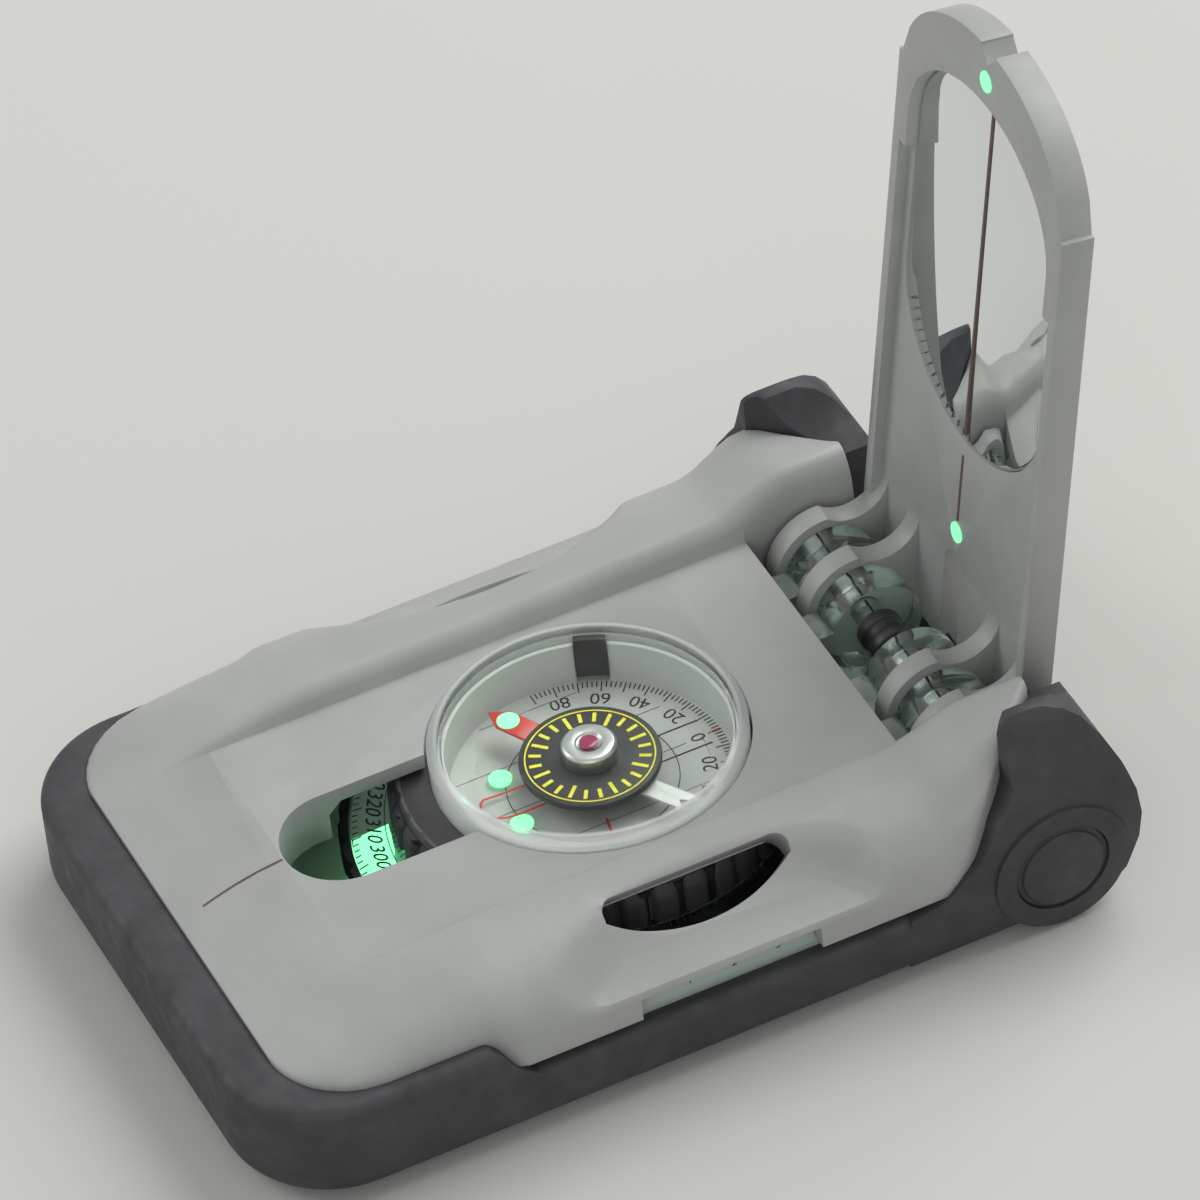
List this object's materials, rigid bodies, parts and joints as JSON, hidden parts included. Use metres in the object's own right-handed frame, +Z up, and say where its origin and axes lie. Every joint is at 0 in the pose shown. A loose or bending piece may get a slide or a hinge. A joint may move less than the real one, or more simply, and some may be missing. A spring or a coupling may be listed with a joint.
{
  "type": "mirror compass",
  "caption": "Folding sighting compass: clear base, moulded housing in a rubber bumper, thumb-turned dial with liquid capsule, and a hinged lid with a mirror and sights.",
  "frame": {"origin": "on the dial's axis, on the plane the compass rests on", "axes": "+X to the user's right, +Y from the dial to the lid's hinge, +Z up out of the dial"},
  "size_m": [0.0676, 0.1072, 0.087],
  "materials": {
    "housing": "fine-textured warm grey moulding, satin",
    "clear_acrylic": "polished clear acrylic",
    "bumper": "matt black moulded rubber",
    "side_cap": "satin black",
    "steel": "ground and polished",
    "luminous": "photoluminescent, glows pale green",
    "black_plastic": "satin black",
    "printed_face": "printed face under liquid",
    "needle_black": "satin black with yellow ring",
    "needle_red": "red paint",
    "hub_plastic": "pale moulded",
    "ruby": "polished synthetic ruby",
    "mirror_glass": "silvered acrylic mirror with a bevelled rim"
  },
  "bodies": {
    "base": {"top_housing": "housing", "clear_base": "clear_acrylic", "rubber_bumper": "bumper", "left_side_cap": "side_cap", "right_side_cap": "side_cap", "base_screws": "steel", "window_light_pad": "luminous", "hinge_pin": "steel", "hinge_spacer": "black_plastic"},
    "dial": {"capsule_shell": "clear_acrylic", "capsule_face": "printed_face", "filler_plug": "black_plastic", "pivot_post": "steel", "drive_ring": "black_plastic", "scale_ring": "clear_acrylic", "grip_ring": "black_plastic"},
    "declination": {"declination_disc": "clear_acrylic", "north_dots": "luminous"},
    "needle": {"needle_disc": "needle_black", "needle_tip": "needle_red", "needle_dot": "luminous", "needle_hub": "hub_plastic", "needle_jewel": "ruby"},
    "clinometer": {"clinometer_pointer": "steel"},
    "lid": {"lid_frame": "housing", "mirror": "mirror_glass", "upper_sight_dot": "luminous", "lower_sight_dot": "luminous"}
  },
  "joints": [
    {"name": "dial_turn", "type": "hinge", "parent": "base", "child": "dial", "pos_m": [0, 0, 0], "axis": [0, 0, 1], "continuous": true},
    {"name": "declination_turn", "type": "hinge", "parent": "dial", "child": "declination", "pos_m": [0, 0, 0], "axis": [0, 0, 1], "range_deg": [-90, 90]},
    {"name": "needle_swing", "type": "hinge", "parent": "dial", "child": "needle", "pos_m": [0, 0, 0], "axis": [0, 0, 1], "continuous": true},
    {"name": "clinometer_swing", "type": "hinge", "parent": "dial", "child": "clinometer", "pos_m": [0, 0, 0], "axis": [0, 0, 1], "continuous": true},
    {"name": "lid_hinge", "type": "hinge", "parent": "base", "child": "lid", "pos_m": [0, 0.035, 0.0128], "axis": [-1, 0, 0], "range_deg": [-98.5, 39.5]}
  ]
}
